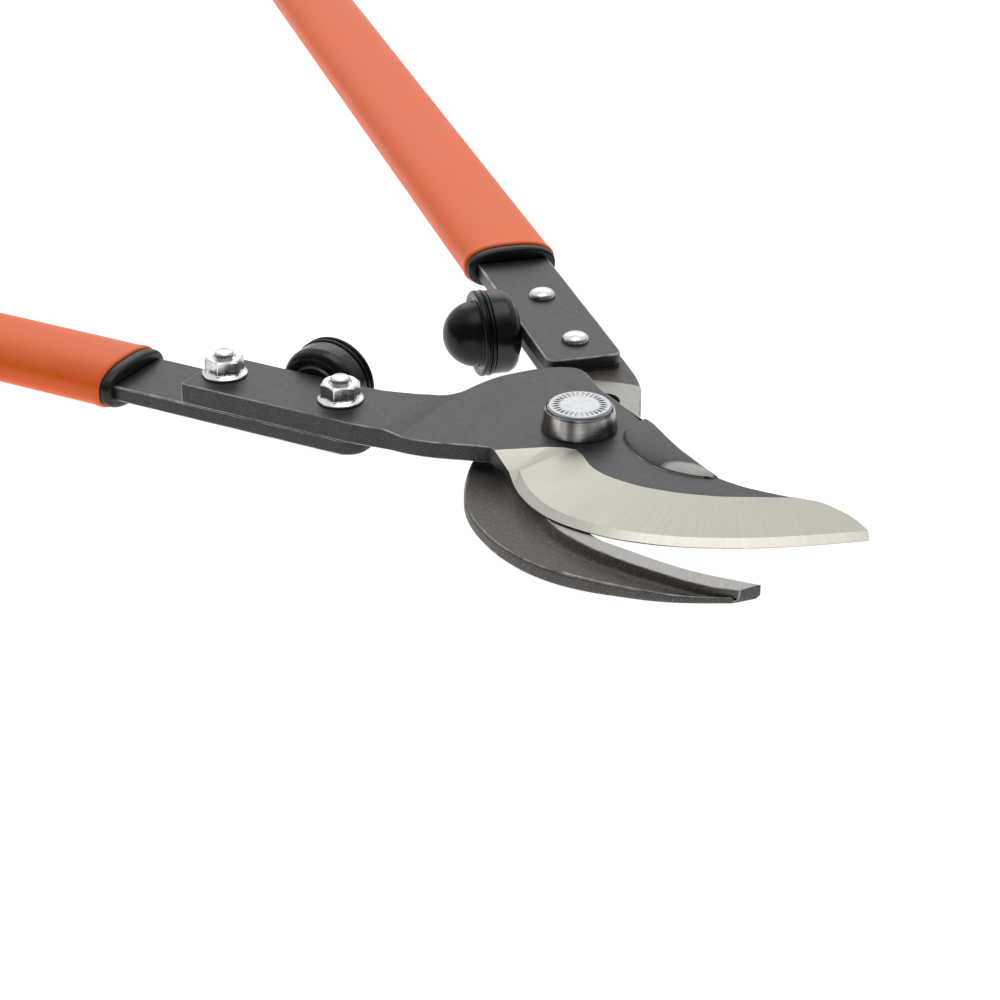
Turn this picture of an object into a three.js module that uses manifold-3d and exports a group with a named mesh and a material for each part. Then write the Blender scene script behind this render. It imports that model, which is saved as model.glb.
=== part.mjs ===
// Bypass loppers: a forged cutting blade and a forged hooked counter blade on one pivot, each bolted
// to a flat steel handle bar with a rubber bumper, an oval tube and a moulded grip sleeve.
// Millimetres. The pivot axis is +Z through the origin, +X points towards the blade tips, and z = 0 is
// the flat underside of the pivot bolt's head. The jaw stands part open.

import * as THREE from 'three';
import { mergeVertices } from 'three/addons/utils/BufferGeometryUtils.js';
import Module from 'manifold-3d';

const wasm = await Module();
wasm.setup();

// ---------------------------------------------------------------- driving dimensions
const SHEAR_Z = 20.5; // plane where the two blades slide past each other
const GAP = 0.3; // running and assembly clearance
const SEAT = 0.1; // clearance between faces that are clamped together

const BLADE_THICK = 6.5;
const TANG_THICK = 8;
const TANG_WIDTH = 30;
const BAR_THICK = 6;
const BAR_WIDTH = 30;
const PIVOT_HOLE_R = 8;
const BOLT_R = 4; // M8 blade bolts
const GRIP_WIDTH = 39;
const GRIP_HEIGHT = 18.4;
const HANDLE_END = 632; // pivot to the end of the grip
const SCREW_RISE = 2.6; // the bumper screw sits off centre, clear of the joint between bar and blade

const BLADE_Z = SHEAR_Z + GAP; // underside of the cutting blade
const BLADE_TOP = BLADE_Z + BLADE_THICK;
const TANG_TOP = BLADE_Z + TANG_THICK;
const COUNTER_THICK = 8;
const COUNTER_Z = SHEAR_Z - COUNTER_THICK;

// Each handle runs straight out from the head at its own angle. "out" is measured square to the handle,
// positive away from the other handle; "side" turns it into the handle's own y. Bolts are [u, out].
const LEFT = {
  name: 'left',
  angle: 202.8,
  side: 1,
  barOut: 23.5,
  bolts: [[86.8, 23.5], [137.2, 24.3]],
  barStart: 71.5,
  barCorner: 8,
  barZ: SHEAR_Z - BAR_THICK,
  tubeStart: 178.5,
  tangOut: 24.4,
  tangEnd: 147,
  bumperU: 108,
  bumperZ: 20.4,
};
const RIGHT = {
  name: 'right',
  angle: 156.6,
  side: -1,
  barOut: 20.9,
  bolts: [[76.8, 21.9], [122.9, 21.9]],
  barStart: 59.8,
  barCorner: 4,
  barZ: SHEAR_Z + SEAT,
  tubeStart: 162,
  tangOut: 23.8,
  tangEnd: 140,
  bumperU: 105,
  bumperZ: 21.4,
};
LEFT.barZ -= SEAT;

// ---------------------------------------------------------------- materials
const finish = (hex, roughness, metalness) =>
  new THREE.MeshStandardMaterial({ color: hex, roughness, metalness });
const MATERIALS = {
  blackPaint: finish(0x3c3d41, 0.42, 0.2),
  forgedSteel: finish(0x4f4a45, 0.5, 0.7),
  zinc: finish(0xc9cbcd, 0.25, 1),
  brushedSteel: finish(0x8f8b86, 0.35, 1),
  bronze: finish(0x9a6b3c, 0.4, 1),
  springSteel: finish(0x5a5c60, 0.4, 1),
  orangeVinyl: finish(0xee6a35, 0.45, 0),
  blackPlastic: finish(0x17181a, 0.4, 0),
  rubber: finish(0x141414, 0.6, 0),
};

// ---------------------------------------------------------------- solids
function toSolid(geometry) {
  const bare = geometry.index ? geometry.toNonIndexed() : geometry.clone();
  bare.deleteAttribute('normal');
  bare.deleteAttribute('uv');
  const merged = mergeVertices(bare, 1e-4);
  return new wasm.Manifold(new wasm.Mesh({
    numProp: 3,
    vertProperties: new Float32Array(merged.attributes.position.array),
    triVerts: new Uint32Array(merged.index.array),
  }));
}

function toGeometry(solid) {
  const data = solid.getMesh();
  const geometry = new THREE.BufferGeometry();
  geometry.setAttribute('position', new THREE.BufferAttribute(data.vertProperties, 3));
  geometry.setIndex(new THREE.BufferAttribute(data.triVerts, 1));
  return geometry;
}

const cut = (body, ...tools) => tools.reduce((rest, tool) => rest.subtract(tool), body);
const join = (body, ...others) => others.reduce((sum, other) => sum.add(other), body);

function plate(shape, z0, z1, curveSegments = 12) {
  const geometry = new THREE.ExtrudeGeometry(shape, { depth: z1 - z0, bevelEnabled: false, curveSegments });
  return toSolid(geometry.translate(0, 0, z0));
}

// Solid of revolution about Z through (x, y). The profile lists [radius, z] and closes on the axis.
function turned(profile, x = 0, y = 0, segments = 24) {
  const points = profile.map(([r, z]) => new THREE.Vector2(r, z));
  const geometry = new THREE.LatheGeometry(points, segments).rotateX(Math.PI / 2);
  return toSolid(geometry.translate(x, y, 0));
}

const rod = (radius, z0, z1, x = 0, y = 0, segments = 24) =>
  turned([[0, z0], [radius, z0], [radius, z1], [0, z1]], x, y, segments);
const ring = (inner, outer, z0, z1, x = 0, y = 0, segments = 32) =>
  turned([[inner, z0], [outer, z0], [outer, z1], [inner, z1], [inner, z0]], x, y, segments);

// Closed solid through a list of rings of [x, y, z] points, all rings running the same way round.
function loft(rings) {
  const count = rings[0].length;
  const positions = rings.flat(2);
  const index = [];
  for (let i = 0; i + 1 < rings.length; i += 1) {
    for (let j = 0; j < count; j += 1) {
      const a = i * count + j;
      const b = i * count + ((j + 1) % count);
      index.push(a, b, a + count, b, b + count, a + count);
    }
  }
  const cap = (ringIndex, flip) => {
    const ringPoints = rings[ringIndex].map((p) => new THREE.Vector3(...p));
    const along = new THREE.Vector3().subVectors(ringPoints[1], ringPoints[0]).normalize();
    const far = ringPoints.reduce((best, p) =>
      (p.clone().sub(ringPoints[0]).cross(along).length() >
        best.clone().sub(ringPoints[0]).cross(along).length() ? p : best));
    const normal = along.clone().cross(far.clone().sub(ringPoints[0])).normalize();
    const across = normal.clone().cross(along);
    const flat = ringPoints.map((p) => new THREE.Vector2(p.dot(along), p.dot(across)));
    const clockwise = THREE.ShapeUtils.isClockWise(flat);
    for (const [a, b, c] of THREE.ShapeUtils.triangulateShape(flat, [])) {
      const base = ringIndex * count;
      const turn = clockwise !== flip;
      index.push(base + a, base + (turn ? c : b), base + (turn ? b : c));
    }
  };
  cap(0, true);
  cap(rings.length - 1, false);
  const geometry = new THREE.BufferGeometry();
  geometry.setAttribute('position', new THREE.Float32BufferAttribute(positions, 3));
  geometry.setIndex(index);
  return toSolid(geometry);
}

const vectors = (points) => points.map(([x, y]) => new THREE.Vector2(x, y));

// Point at u along a handle and "out" away from its line, in the head's own x and y.
function onHandle(handle, u, out) {
  const turn = THREE.MathUtils.degToRad(handle.angle);
  const v = handle.side * out;
  return [Math.cos(turn) * u - Math.sin(turn) * v, Math.sin(turn) * u + Math.cos(turn) * v];
}

// ---------------------------------------------------------------- cutting blade
const EDGE = [
  [5, -37], [13.2, -41], [19.1, -43.5], [27.5, -45.9], [36.5, -46.9], [44.5, -46.2], [52.7, -44.2],
  [60.2, -41.3], [66.8, -38], [77.6, -30.4], [87.4, -21.2], [98.3, -8.3], [107.8, 5.8], [115.9, 20],
  [119.6, 26.8],
];
const BEVEL_TOP = [
  [15.8, -13.4], [20.2, -15], [24.9, -17], [30.3, -18.2], [36.4, -18.1], [42.5, -16.8], [49.4, -14.6],
  [56, -11.2], [62.1, -7.4], [67.5, -3.1], [72.7, 1.5], [79.5, 9.3], [86.2, 17], [91.5, 23.5],
];
const BLADE_BACK = [
  [117.6, 28.6], [112.8, 29.4], [107.9, 29.3], [101.9, 28], [96.3, 26], [88.6, 20.8], [77.8, 15.6],
  [70.6, 12.9], [62, 11.2],
  [52.9, 10.6], [40.2, 12.7], [23.5, 18], [14.2, 21.6], [0.6, 23.8], [-12.1, 26.2], [-20.9, 27.9],
  [-29, 30.9], [-35.8, 33.3], [-41, 32.8], [-45.3, 28.9], [-49, 22.1], [-51.3, 14.2], [-53, 5],
  [-52.6, -4.5], [-51.2, -13.6], [-51.7, -21.4], [-54.9, -27.3], [-60.7, -32.5], [-68.2, -38.2],
];
const HEEL = [-7.5, -35.6];
const FACET_TOP = [[-3.9, -34.6], [5.6, -19.2], [9.6, -15.2], [13.6, -13]];
const FACET_LOW = [5.1, -36.6];
const HEEL_REACH = 45; // the heel's facets end well inside this distance
const RAMP_START = 52.4; // the tang steps up to its full thickness between these distances from the pivot
const RAMP_END = 60.5;
const EDGE_LAND = 0.35; // thickness left at the very edge
const MICRO_WIDTH = 3;
const MICRO_RISE = 1.7;

function bladeShape() {
  const { tangOut, tangEnd } = LEFT;
  const near = tangOut + TANG_WIDTH / 2;
  const far = tangOut - TANG_WIDTH / 2;
  const shape = new THREE.Shape();
  shape.moveTo(...onHandle(LEFT, tangEnd, near));
  shape.lineTo(...onHandle(LEFT, 74, near));
  shape.splineThru(vectors([
    onHandle(LEFT, 66, 38.7), onHandle(LEFT, 58, 37.7), onHandle(LEFT, 50, 37.7), onHandle(LEFT, 42, 36.5),
    onHandle(LEFT, 34, 34), onHandle(LEFT, 27, 31.7), HEEL,
  ]));
  shape.lineTo(...EDGE[0]);
  shape.splineThru(vectors(EDGE.slice(1)));
  shape.splineThru(vectors(BLADE_BACK));
  shape.lineTo(...onHandle(LEFT, 88, far));
  shape.lineTo(...onHandle(LEFT, tangEnd, far));
  shape.closePath();
  return shape;
}

const toCurve = (points) => new THREE.CatmullRomCurve3(points.map(([x, y]) => new THREE.Vector3(x, y, 0)));

// Everything above a ruled bevel between an inner line and the edge, given the heights on both.
function bevelCutter(stations, heights) {
  const ceiling = TANG_TOP + 6;
  const rings = stations.map(({ inner, edge }) => {
    const span = new THREE.Vector3().subVectors(edge, inner);
    const at = (t) => inner.clone().addScaledVector(span, t);
    const z = (t) => heights.inner + (heights.edge - heights.inner) * t;
    const start = at(-heights.reach);
    const end = at(1 + heights.reach);
    return [
      [start.x, start.y, z(-heights.reach)],
      [start.x, start.y, ceiling],
      [end.x, end.y, ceiling],
      [end.x, end.y, z(1 + heights.reach)],
    ];
  });
  return loft(rings);
}

function cuttingBlade() {
  const edgeCurve = toCurve([[-9, -33], [-2, -35.4], ...EDGE, [123, 33]]);
  const topCurve = toCurve([[0, -11], [8, -12.6], ...BEVEL_TOP, [97, 30]]);
  const steps = 40;
  const main = [];
  const micro = [];
  for (let i = 0; i <= steps; i += 1) {
    const edge = edgeCurve.getPointAt(i / steps);
    const inner = topCurve.getPointAt(i / steps);
    const inward = new THREE.Vector3().subVectors(inner, edge).normalize();
    main.push({ inner, edge });
    micro.push({ inner: edge.clone().addScaledVector(inward, MICRO_WIDTH), edge });
  }
  const edgeZ = BLADE_Z + EDGE_LAND;
  const mainEdgeZ = edgeZ + MICRO_RISE - 0.35;
  const grind = join(
    bevelCutter(main, { inner: BLADE_TOP, edge: mainEdgeZ, reach: 0.12 }),
    bevelCutter(micro, { inner: edgeZ + MICRO_RISE, edge: edgeZ, reach: 1 }),
  );
  const blank = plate(bladeShape(), BLADE_Z, TANG_TOP, 4);
  const ground = heelSides().reduce((rest, side) => rest.intersect(side), grind);
  const body = join(cut(blank, headRelief(), ground), spineBoss());
  const holes = LEFT.bolts.map(([u, out]) => {
    const [x, y] = onHandle(LEFT, u, out);
    return rod(BOLT_R + GAP, BLADE_Z - 1, TANG_TOP + 1, x, y);
  });
  const tapped = screwHole(LEFT).rotate([0, 0, LEFT.angle]);
  return cut(body, ...holes, tapped, rod(PIVOT_HOLE_R, BLADE_Z - 1, TANG_TOP + 4, 0, 0, 36));
}

// Half-spaces above the heel's facets, which fan out from its low corner to the top face's rounded corner.
function heelSides() {
  const low = new THREE.Vector3(...FACET_LOW, BLADE_Z + EDGE_LAND + MICRO_RISE);
  const reach = 400;
  const beyond = new THREE.BoxGeometry(reach, reach, reach).translate(HEEL_REACH + reach / 2, 0, 0);
  return FACET_TOP.slice(1).map((point, i) => {
    const a = new THREE.Vector3(...FACET_TOP[i], BLADE_TOP);
    const b = new THREE.Vector3(...point, BLADE_TOP);
    const normal = b.clone().sub(a).cross(low.clone().sub(a)).normalize();
    if (normal.z < 0) normal.negate();
    const block = new THREE.BoxGeometry(reach, reach, reach).translate(0, 0, reach / 2);
    block.applyQuaternion(new THREE.Quaternion().setFromUnitVectors(new THREE.Vector3(0, 0, 1), normal));
    return join(toSolid(block.translate(a.x, a.y, a.z)), toSolid(beyond));
  });
}

// What lies above the head's thinner top face and the ramp that leads up to the tang.
function headRelief() {
  const profile = new THREE.Shape(vectors([
    [-150, BLADE_TOP], [RAMP_START, BLADE_TOP], [RAMP_END, TANG_TOP], [RAMP_END, TANG_TOP + 5],
    [-150, TANG_TOP + 5],
  ]));
  const width = 300;
  const geometry = new THREE.ExtrudeGeometry(profile, { depth: width, bevelEnabled: false });
  geometry.rotateX(Math.PI / 2).translate(0, width / 2, 0);
  return toSolid(geometry.rotateZ(THREE.MathUtils.degToRad(LEFT.angle)));
}

// Thumb-shaped stiffening boss on the blade's back: its foot follows the back, and it is crowned.
const BOSS_BACK = [
  [12.4, 21.3], [18, 19.8], [26, 17], [34, 14.4], [42, 12.3], [50, 10.9], [57, 10.4], [62, 11],
];
const BOSS_FRONT = [
  [13, 10], [18.6, 4.8], [25.8, 1.6], [33.5, -0.3], [41, -0.9], [49, 1], [56.6, 4.9], [61.9, 9.8],
];
const BOSS_RISE = 2.7;

function spineBoss() {
  const back = toCurve(BOSS_BACK);
  const front = toCurve(BOSS_FRONT);
  const steps = 22;
  const acrossSteps = 9;
  const rings = [];
  for (let i = 0; i <= steps; i += 1) {
    const t = i / steps;
    const p = back.getPoint(t);
    const q = front.getPoint(t);
    const swell = Math.sin(Math.PI * Math.min(1, 0.16 + t * 0.84)) ** 0.5;
    const crown = [];
    for (let j = 0; j <= acrossSteps; j += 1) {
      const s = j / acrossSteps;
      const x = p.x + (q.x - p.x) * s;
      const y = p.y + (q.y - p.y) * s;
      crown.push([x, y, BLADE_TOP + 0.02 + BOSS_RISE * swell * Math.cos((Math.PI / 2) * s) ** 0.6]);
    }
    rings.push([...crown, [q.x, q.y, BLADE_TOP - 1.5], [p.x, p.y, BLADE_TOP - 1.5]]);
  }
  return loft(rings);
}

// ---------------------------------------------------------------- counter blade
const RIM = [
  [-31, -15], [-17.6, -36.4], [2, -55], [15, -62.4], [32.1, -67.3], [49.2, -68.2], [62, -66],
  [73, -62.3], [84.8, -56.8], [94.2, -52], [102.4, -46.4], [109.3, -39.8], [115.2, -32.8],
];
const LEDGE_OUT = [
  [-24, -11], [-11, -28], [4.5, -35], [16, -38.6], [30.5, -44], [45, -48.6], [60.5, -49.1], [75.6, -46.7],
  [88, -43.6], [100, -40], [109.8, -35.6], [116.9, -30.6],
];
const LEDGE_IN = [
  [-21, -7], [-9, -21], [6, -26], [19, -27], [34, -29], [44.4, -37.6], [58, -42.8], [73, -40.1],
  [86, -37], [98, -33], [109, -27.6], [118.4, -22.4],
];
const HOOK_DEPTH = 9;
const TIP_DEPTH = 5;
const BODY_DROP = 3.4; // the hook's web lies this far below the shear plane
const TIP_DROP = 2.6;
const INNER_EDGE = [[6, 25.5], [17, 16], [24, 4], [28.4, -10], [34, -27]];
const OUTER_EDGE = [[-39.6, 59.3], [-31.2, 55.4], [-23, 50.4], [-16.6, 45], [-11.9, 40.1], [-6.2, 34.8]];
const POCKET = { x: -23.4, y: 30.8, r: 7, depth: 3 };

function hookBody() {
  const rim = toCurve(RIM);
  const outer = toCurve(LEDGE_OUT);
  const inner = toCurve(LEDGE_IN);
  const steps = 42;
  const rings = [];
  for (let i = 0; i <= steps; i += 1) {
    const t = i / steps;
    const a = inner.getPointAt(t);
    const b = outer.getPointAt(t);
    const c = rim.getPointAt(t);
    const taper = THREE.MathUtils.smoothstep(t, 0.62, 1);
    const floor = SHEAR_Z - THREE.MathUtils.lerp(HOOK_DEPTH, TIP_DEPTH, taper);
    const web = SHEAR_Z - THREE.MathUtils.lerp(BODY_DROP, TIP_DROP, taper);
    const across = ([s, z]) => [b.x + (c.x - b.x) * s, b.y + (c.y - b.y) * s, z];
    rings.push([
      [a.x, a.y, floor + 1],
      [a.x, a.y, SHEAR_Z],
      ...[
        [0, SHEAR_Z], [0.03, SHEAR_Z - 1], [0.06, SHEAR_Z - 2], [0.1, web - 0.1], [0.15, web - 0.6],
        [0.22, web - 0.9], [0.32, web - 1], [0.5, web - 0.8], [0.72, web - 0.4], [0.87, web + 0.1],
        [0.93, web + 0.3], [0.975, web], [1, web - 0.9], [1, floor + 1.5], [0.97, floor + 0.6], [0.9, floor],
      ].map(across),
      [a.x + (b.x - a.x) * 0.2, a.y + (b.y - a.y) * 0.2, floor],
    ]);
  }
  return loft(rings);
}

function padShape() {
  const { tangOut, tangEnd } = RIGHT;
  const outer = tangOut + TANG_WIDTH / 2;
  const inner = tangOut - TANG_WIDTH / 2;
  const shape = new THREE.Shape();
  shape.moveTo(...onHandle(RIGHT, tangEnd, inner));
  shape.lineTo(...onHandle(RIGHT, 66, inner));
  shape.splineThru(vectors([[-46, 14], [-37, 1], [-27, -12], [-13, -27], [4.5, -34.6], [18, -38.6]]));
  shape.lineTo(34, -27);
  shape.splineThru(vectors([...INNER_EDGE.slice(0, -1)].reverse().concat([OUTER_EDGE.at(-1)])));
  shape.splineThru(vectors([...OUTER_EDGE.slice(0, -1)].reverse()));
  shape.lineTo(...onHandle(RIGHT, 66, outer));
  shape.lineTo(...onHandle(RIGHT, tangEnd, outer));
  shape.closePath();
  return shape;
}

function counterBlade() {
  const body = join(plate(padShape(), COUNTER_Z, SHEAR_Z, 4), hookBody());
  const holes = RIGHT.bolts.map(([u, out]) => {
    const [x, y] = onHandle(RIGHT, u, out);
    return rod(BOLT_R + GAP, COUNTER_Z - 3, SHEAR_Z + 1, x, y);
  });
  const pocket = rod(POCKET.r, SHEAR_Z - POCKET.depth, SHEAR_Z + 1, POCKET.x, POCKET.y);
  return cut(body, ...holes, pocket, rod(PIVOT_BOLT_R + GAP, 0, SHEAR_Z + 1, 0, 0, 36));
}

// ---------------------------------------------------------------- pivot
const PIVOT_BOLT_R = 6;
const HEAD_FLATS = 19;
const HEAD_HEIGHT = 7.5;
const COLLAR_BASE_R = 14;
const COLLAR_TOP_R = 12.6;
const COLLAR_HEIGHT = 7.9;
const CAP_R = 11.9;
const CAP_TOP = BLADE_TOP + 9.2;

function hexagon(acrossFlats) {
  const corner = acrossFlats / Math.sqrt(3);
  const points = [];
  for (let i = 0; i < 6; i += 1) {
    const turn = (i * Math.PI) / 3;
    points.push(new THREE.Vector2(corner * Math.cos(turn), corner * Math.sin(turn)));
  }
  return new THREE.Shape(points);
}

// A hexagon prism whose corners are turned down to a cone at both chosen ends.
function hexBlock(acrossFlats, z0, z1, chamferLow, chamferHigh) {
  const corner = acrossFlats / Math.sqrt(3);
  const waist = acrossFlats / 2 - 0.1;
  const drop = (corner - waist) * 0.55;
  const envelope = [[0, z0]];
  envelope.push(...(chamferLow ? [[waist, z0], [corner + 0.1, z0 + drop]] : [[corner + 0.1, z0]]));
  envelope.push(...(chamferHigh ? [[corner + 0.1, z1 - drop], [waist, z1]] : [[corner + 0.1, z1]]));
  envelope.push([0, z1]);
  return plate(hexagon(acrossFlats), z0, z1).intersect(turned(envelope));
}

function pivotBolt() {
  return join(hexBlock(HEAD_FLATS, 0, HEAD_HEIGHT, true, false), rod(PIVOT_BOLT_R, 3, CAP_TOP - 3.5));
}

function pivotCollar() {
  const base = BLADE_TOP + SEAT;
  const inner = PIVOT_BOLT_R + GAP;
  const outline = [
    [inner, base], [COLLAR_BASE_R - 0.4, base], [COLLAR_BASE_R, base + 0.4],
    [COLLAR_TOP_R + 0.4, base + COLLAR_HEIGHT - 0.5], [COLLAR_TOP_R, base + COLLAR_HEIGHT],
    [CAP_R + GAP, base + COLLAR_HEIGHT], [CAP_R + GAP, base + 4], [inner, base + 4], [inner, base],
  ];
  return turned(outline, 0, 0, 36);
}

function pivotCap() {
  const low = BLADE_TOP + SEAT + 4 + SEAT;
  const outline = [
    [PIVOT_BOLT_R + GAP, low], [CAP_R, low], [CAP_R, CAP_TOP - 0.9], [CAP_R - 0.25, CAP_TOP - 0.35],
    [CAP_R - 0.8, CAP_TOP], [0, CAP_TOP], [0, CAP_TOP - 3.2], [PIVOT_BOLT_R + GAP, CAP_TOP - 3.2],
    [PIVOT_BOLT_R + GAP, low],
  ];
  return turned(outline, 0, 0, 36);
}

const pivotBush = () => ring(PIVOT_BOLT_R + GAP, PIVOT_HOLE_R - 0.2, BLADE_Z, BLADE_TOP - SEAT);
const springWasher = () => {
  const low = HEAD_HEIGHT + SEAT;
  const notch = new THREE.BoxGeometry(8, 1.6, 6).translate(10, 0, low + 1);
  return cut(ring(PIVOT_BOLT_R + GAP, 10.5, low, low + 2.4), toSolid(notch));
};
const pivotWasher = () => ring(PIVOT_BOLT_R + GAP, 12.5, HEAD_HEIGHT + 2.6 + SEAT, COUNTER_Z - SEAT);

// ---------------------------------------------------------------- handle pieces, in the handle's frame
const TUBE_WALL = 1.8;
const SLEEVE_WALL = 2;
const FERRULE_LIP = 4.5; // how far the ferrule stands out of the tube and sleeve
const BAR_GRIP = 70; // length of bar inside the tube
const CAP_LENGTH = 12;
const OVAL_POWER = 2.5;
const OVAL_SIDES = 28;
const TONGUE_WIDTH = 25; // the bar narrows where it enters the tube

// Points round a slightly squared oval.
function ovalPoints(width, height, turns = OVAL_SIDES) {
  const bend = (value) => Math.sign(value) * Math.abs(value) ** (2 / OVAL_POWER);
  const points = [];
  for (let i = 0; i < turns; i += 1) {
    const a = (i / turns) * Math.PI * 2;
    points.push([(width / 2) * bend(Math.cos(a)), (height / 2) * bend(Math.sin(a))]);
  }
  return points;
}

const oval = (width, height) => new THREE.Shape(vectors(ovalPoints(width, height)));

// Extrudes a section drawn across the handle (x = out, y = up) from u0 to u1.
function alongHandle(shape, u0, u1, out, z) {
  const geometry = new THREE.ExtrudeGeometry(shape, { depth: u1 - u0, bevelEnabled: false });
  const basis = new THREE.Matrix4().makeBasis(
    new THREE.Vector3(0, 1, 0), new THREE.Vector3(0, 0, 1), new THREE.Vector3(1, 0, 0));
  return toSolid(geometry.applyMatrix4(basis).translate(u0, out, z));
}

function handleBar(handle) {
  const { side, barStart, barCorner, bolts, tubeStart, barZ } = handle;
  const out = side * handle.barOut;
  const half = BAR_WIDTH / 2;
  const neck = tubeStart + FERRULE_LIP;
  const end = tubeStart + BAR_GRIP;
  const shape = new THREE.Shape();
  shape.moveTo(neck, out - half);
  shape.lineTo(neck, out - TONGUE_WIDTH / 2);
  shape.lineTo(end, out - TONGUE_WIDTH / 2);
  shape.lineTo(end, out + TONGUE_WIDTH / 2);
  shape.lineTo(neck, out + TONGUE_WIDTH / 2);
  shape.lineTo(neck, out + half);
  shape.lineTo(barStart + barCorner, out + half);
  shape.absarc(barStart + barCorner, out + half - barCorner, barCorner, Math.PI / 2, Math.PI, false);
  shape.absarc(barStart + barCorner, out - half + barCorner, barCorner, Math.PI, Math.PI * 1.5, false);
  shape.closePath();
  const z1 = barZ + BAR_THICK;
  const holes = bolts.map(([u, boltOut]) => rod(BOLT_R + GAP, barZ - 1, z1 + 1, u, side * boltOut));
  return cut(plate(shape, barZ, z1, 6), ...holes, screwHole(handle));
}

function handleTube(handle) {
  const { side, tubeStart, barZ } = handle;
  const out = side * handle.barOut;
  const z = barZ + BAR_THICK / 2;
  const width = GRIP_WIDTH - 2 * SLEEVE_WALL;
  const height = GRIP_HEIGHT - 2 * SLEEVE_WALL;
  const start = tubeStart + FERRULE_LIP;
  const end = HANDLE_END - CAP_LENGTH;
  const outer = alongHandle(oval(width, height), start, end, out, z);
  const bore = oval(width - 2 * TUBE_WALL, height - 2 * TUBE_WALL);
  return cut(outer, alongHandle(bore, start - 1, end + 1, out, z));
}

// Black end piece: a rounded lip outside the tube, and a spigot inside it that holds the bar's tongue.
function ferrule(handle) {
  const { side, tubeStart, barZ } = handle;
  const out = side * handle.barOut;
  const z = barZ + BAR_THICK / 2;
  const sections = [[0, 1.7], [0.4, 0.9], [1.2, 0.3], [2.2, 0], [FERRULE_LIP - GAP, 0]];
  const lip = loft(sections.map(([u, inset]) =>
    ovalPoints(GRIP_WIDTH - 1 - 2 * inset, GRIP_HEIGHT - 1 - 2 * inset)
      .map(([x, y]) => [tubeStart + u, out + x, z + y])));
  const wall = 2 * (SLEEVE_WALL + TUBE_WALL + GAP);
  const spigot = alongHandle(
    oval(GRIP_WIDTH - wall, GRIP_HEIGHT - wall), tubeStart + 1, tubeStart + BAR_GRIP + 8, out, z);
  const mouth = new THREE.BoxGeometry(FERRULE_LIP + 2 * GAP, BAR_WIDTH + 2 * GAP, BAR_THICK + 2 * GAP);
  const slot = new THREE.BoxGeometry(BAR_GRIP, TONGUE_WIDTH + 2 * GAP, BAR_THICK + 2 * GAP);
  return cut(
    join(lip, spigot),
    toSolid(mouth.translate(tubeStart + FERRULE_LIP / 2, out, z)),
    toSolid(slot.translate(tubeStart + BAR_GRIP / 2 + GAP, out, z)),
  );
}

function gripSleeve(handle) {
  const { side, tubeStart, barZ } = handle;
  const out = side * handle.barOut;
  const z = barZ + BAR_THICK / 2;
  const start = tubeStart + FERRULE_LIP;
  const end = HANDLE_END - CAP_LENGTH;
  const outer = alongHandle(oval(GRIP_WIDTH, GRIP_HEIGHT), start, end, out, z);
  const bore = oval(GRIP_WIDTH - 2 * SLEEVE_WALL + 2 * GAP, GRIP_HEIGHT - 2 * SLEEVE_WALL + 2 * GAP);
  return cut(outer, alongHandle(bore, start - 1, end + 1, out, z));
}

function endCap(handle) {
  const { side, barZ } = handle;
  const out = side * handle.barOut;
  const z = barZ + BAR_THICK / 2;
  const start = HANDLE_END - CAP_LENGTH + GAP;
  const length = HANDLE_END - start;
  const rings = [];
  for (let i = 0; i <= 5; i += 1) {
    const t = Math.min(i / 5, 0.99);
    const drop = GRIP_HEIGHT * 0.5 * (1 - Math.sqrt(1 - t ** 3));
    rings.push(ovalPoints(GRIP_WIDTH - 2 * drop, GRIP_HEIGHT - 2 * drop)
      .map(([x, y]) => [start + t * length, out + x, z + y]));
  }
  const width = GRIP_WIDTH - 2 * SLEEVE_WALL - 2 * TUBE_WALL - 2 * GAP;
  const height = GRIP_HEIGHT - 2 * SLEEVE_WALL - 2 * TUBE_WALL - 2 * GAP;
  const plug = alongHandle(oval(width, height), start - 30, start + 2, out, z);
  return join(loft(rings), plug);
}

// Solid of revolution about an axis square to the handle at the bumper. The profile lists
// [radius, distance] measured inwards, towards the other handle, from the bar's inner edge.
function alongOut(handle, profile, rise = 0, segments = 24) {
  const { side, barOut, bumperU, bumperZ } = handle;
  const points = profile.map(([r, d]) => new THREE.Vector2(r, d));
  const geometry = new THREE.LatheGeometry(points, segments);
  if (side > 0) geometry.rotateX(Math.PI);
  return toSolid(geometry.translate(bumperU, side * (barOut - BAR_WIDTH / 2), bumperZ + rise));
}

const SCREW_R = 1.4;
const SCREW_HEAD_R = 3.9;
const SCREW_REACH = 12; // how far the screw goes into the bar or blade
const CUP_R = 16.6;
const CUP_FLOOR = 4.4;
const CUP_LENGTH = 12;
const FLANGE_R = 17.1;
const FLANGE_END = 16.8;
const DOME_R = 13.1;
const BUMPER_LENGTH = 29.6;

function bumperCup(handle) {
  const cup = alongOut(handle, [
    [0, 0.2], [10.4, 0.2], [10.8, 1.3], [CUP_R - 3.2, 1.6], [CUP_R - 1, 2.8], [CUP_R, 4.8],
    [CUP_R, CUP_LENGTH], [CUP_R - 3, CUP_LENGTH], [CUP_R - 3, CUP_FLOOR], [0, CUP_FLOOR],
  ]);
  return cut(cup, screwHole(handle, CUP_FLOOR + 1));
}

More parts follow.
